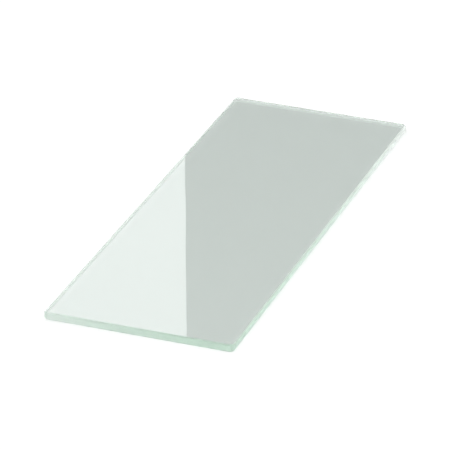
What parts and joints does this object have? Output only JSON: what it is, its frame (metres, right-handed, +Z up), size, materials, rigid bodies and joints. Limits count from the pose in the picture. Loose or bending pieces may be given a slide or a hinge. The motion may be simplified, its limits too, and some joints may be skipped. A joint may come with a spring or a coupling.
{
  "type": "microscope slide",
  "caption": "Flat rectangular plate of clear glass with polished faces, ground edges and dubbed corners, which carries a specimen under a microscope.",
  "frame": {"origin": "centre of the underside, on the surface that the slide lies on", "axes": "+X along the length, +Y across the width, +Z up through the thickness and out of the face that takes the specimen"},
  "size_m": [0.075, 0.025, 0.001],
  "materials": {
    "clear_glass": "clear soda-lime glass with a faint green tint, polished on both faces and finely ground round the edges"
  },
  "bodies": {
    "root": {"glass_slide": "clear_glass"}
  },
  "joints": []
}
